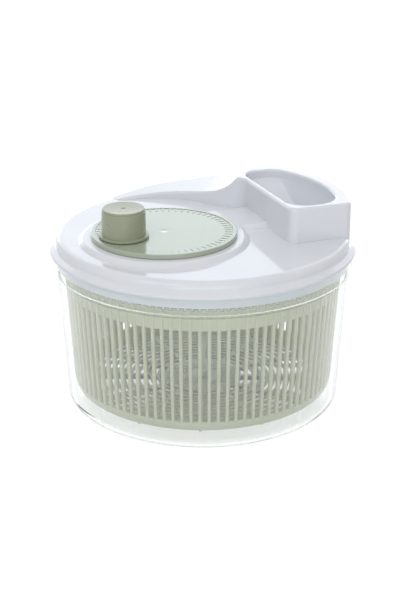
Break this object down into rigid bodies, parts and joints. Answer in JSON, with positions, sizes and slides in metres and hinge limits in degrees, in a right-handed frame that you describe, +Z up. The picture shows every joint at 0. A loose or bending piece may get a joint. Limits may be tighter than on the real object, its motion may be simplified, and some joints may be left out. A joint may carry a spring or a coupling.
{
  "type": "salad spinner",
  "caption": "Crank-driven salad spinner: clear round bowl, slotted inner basket and a geared lid with a flat crank disc, a turning knob and a grip pocket.",
  "frame": {"origin": "centre of the flat face under the bowl, on the axis that the basket spins about", "axes": "+Z up along the spinning axis; +X from that axis towards the grip pocket's side of the lid, square to the straight wall of its block; +Y towards the ramp behind the crank"},
  "size_m": [0.25, 0.25, 0.1745],
  "materials": {
    "bowl_clear": "clear, polished styrene-like plastic",
    "basket_plastic": "sage green polypropylene, satin",
    "crank_plastic": "sage green, polished",
    "knob_plastic": "sage green, semi-gloss",
    "lid_white": "white, polished",
    "inner_white": "white, satin",
    "gear_plastic": "natural white acetal, satin",
    "bearing_plastic": "pale grey acetal, satin",
    "washer_steel": "stainless steel, rolled",
    "screw_steel": "stainless steel"
  },
  "bodies": {
    "bowl": {"bowl": "bowl_clear"},
    "basket": {"basket": "basket_plastic"},
    "lid": {"lid_shell": "lid_white", "gear_cover": "inner_white", "cover_screws": "screw_steel", "crank_bush": "bearing_plastic", "pinion_bush": "bearing_plastic"},
    "crank": {"crank_disc": "crank_plastic", "crank_gear": "gear_plastic", "crank_washer": "washer_steel", "crank_screw": "screw_steel", "knob_washer": "washer_steel", "knob_screw": "screw_steel"},
    "knob": {"knob": "knob_plastic", "knob_cap": "knob_plastic"},
    "drive": {"pinion": "gear_plastic", "pinion_washer": "washer_steel", "drive_plate": "inner_white", "drive_washer": "washer_steel", "drive_screw": "screw_steel"}
  },
  "joints": [
    {"name": "basket_spin", "type": "hinge", "parent": "bowl", "child": "basket", "pos_m": [0, 0, 0.0124], "axis": [0, 0, 1], "continuous": true},
    {"name": "lid_lift", "type": "slide", "parent": "bowl", "child": "lid", "axis": [0, 0, 1], "range_m": [0, 0.12]},
    {"name": "crank_spin", "type": "hinge", "parent": "lid", "child": "crank", "pos_m": [-0.03639, -0.00907, 0.1474], "axis": [0, 0, 1], "continuous": true},
    {"name": "knob_spin", "type": "hinge", "parent": "crank", "child": "knob", "pos_m": [-0.07113, -0.01236, 0.1513], "axis": [0, 0, 1], "continuous": true},
    {"name": "drive_spin", "type": "hinge", "parent": "lid", "child": "drive", "pos_m": [0, 0, 0.1293], "axis": [0, 0, 1], "continuous": true}
  ],
  "couplings": [
    {"joint": "drive_spin", "follows": "basket_spin", "ratio": 1},
    {"joint": "crank_spin", "follows": "basket_spin", "ratio": -0.30435}
  ]
}
